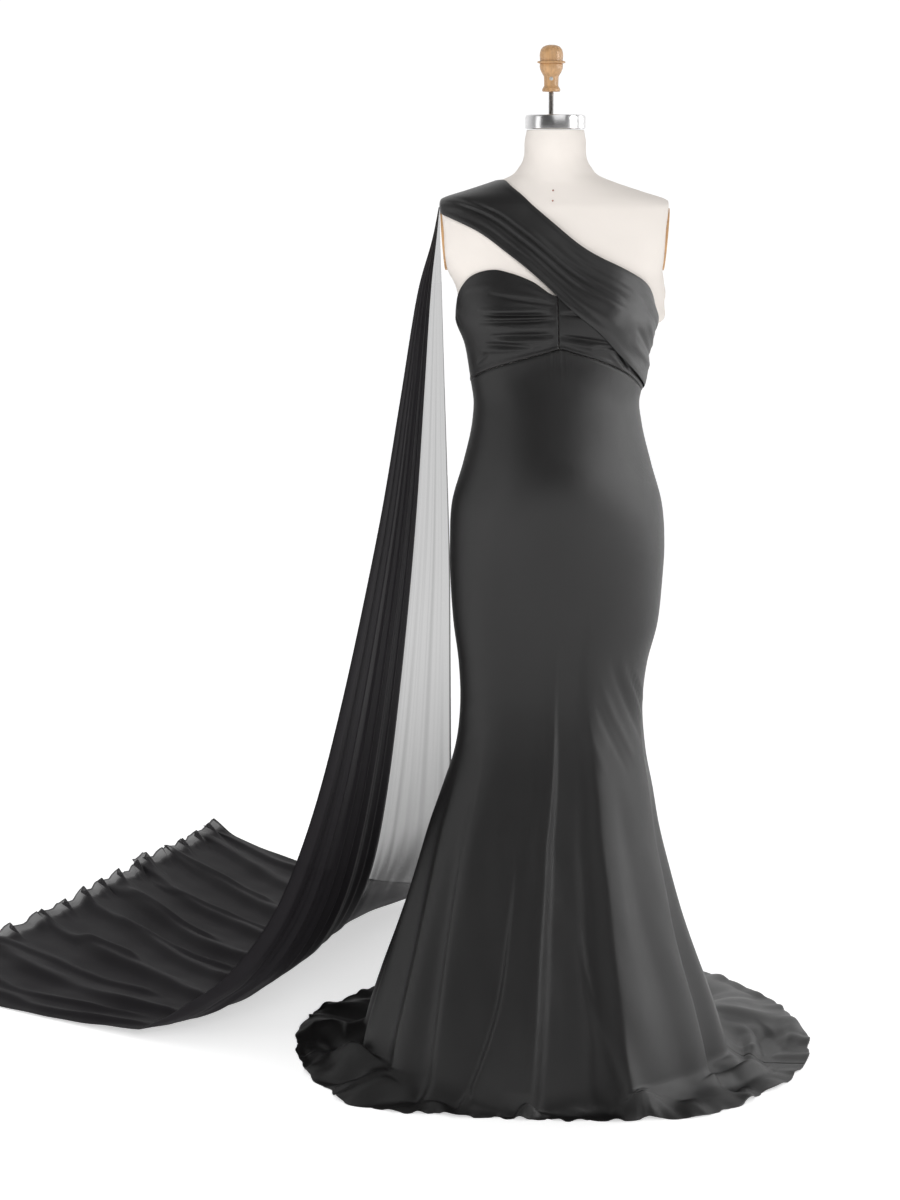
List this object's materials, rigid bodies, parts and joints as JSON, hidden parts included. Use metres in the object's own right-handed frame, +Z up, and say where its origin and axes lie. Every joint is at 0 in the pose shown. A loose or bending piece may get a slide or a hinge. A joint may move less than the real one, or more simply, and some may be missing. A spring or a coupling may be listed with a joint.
{
  "type": "maternity gown on a dress form",
  "caption": "One-shoulder mermaid maternity gown in black jersey with a sheer chiffon train, on a limbless dress form that stands on a round base.",
  "frame": {"origin": "middle of the stand base's underside, on the floor", "axes": "+Z up, -Y out of the front of the gown, +X to the wearer's left; the train lies towards -X and +Y"},
  "size_m": [1.754, 1.8958, 1.8013],
  "materials": {
    "jersey": "matte black stretch jersey",
    "satin": "black stretch satin with a soft sheen",
    "chiffon": "sheer black chiffon",
    "linen": "cream linen cover, matte",
    "wood": "light varnished beech",
    "chrome": "polished",
    "steel": "dark threaded rod",
    "iron": "black satin paint"
  },
  "bodies": {
    "root": {"bodice_front_right": "jersey", "bodice_front_left": "jersey", "bodice_back": "jersey", "sash_front": "satin", "sash_back": "satin", "skirt_front": "jersey", "skirt_back": "jersey", "train": "chiffon", "form_body": "linen", "arm_plate_right": "wood", "arm_plate_left": "wood", "neck_cap": "chrome", "neck_rod": "steel", "neck_knob": "wood", "stand_pole": "chrome", "stand_base": "iron"}
  },
  "joints": []
}
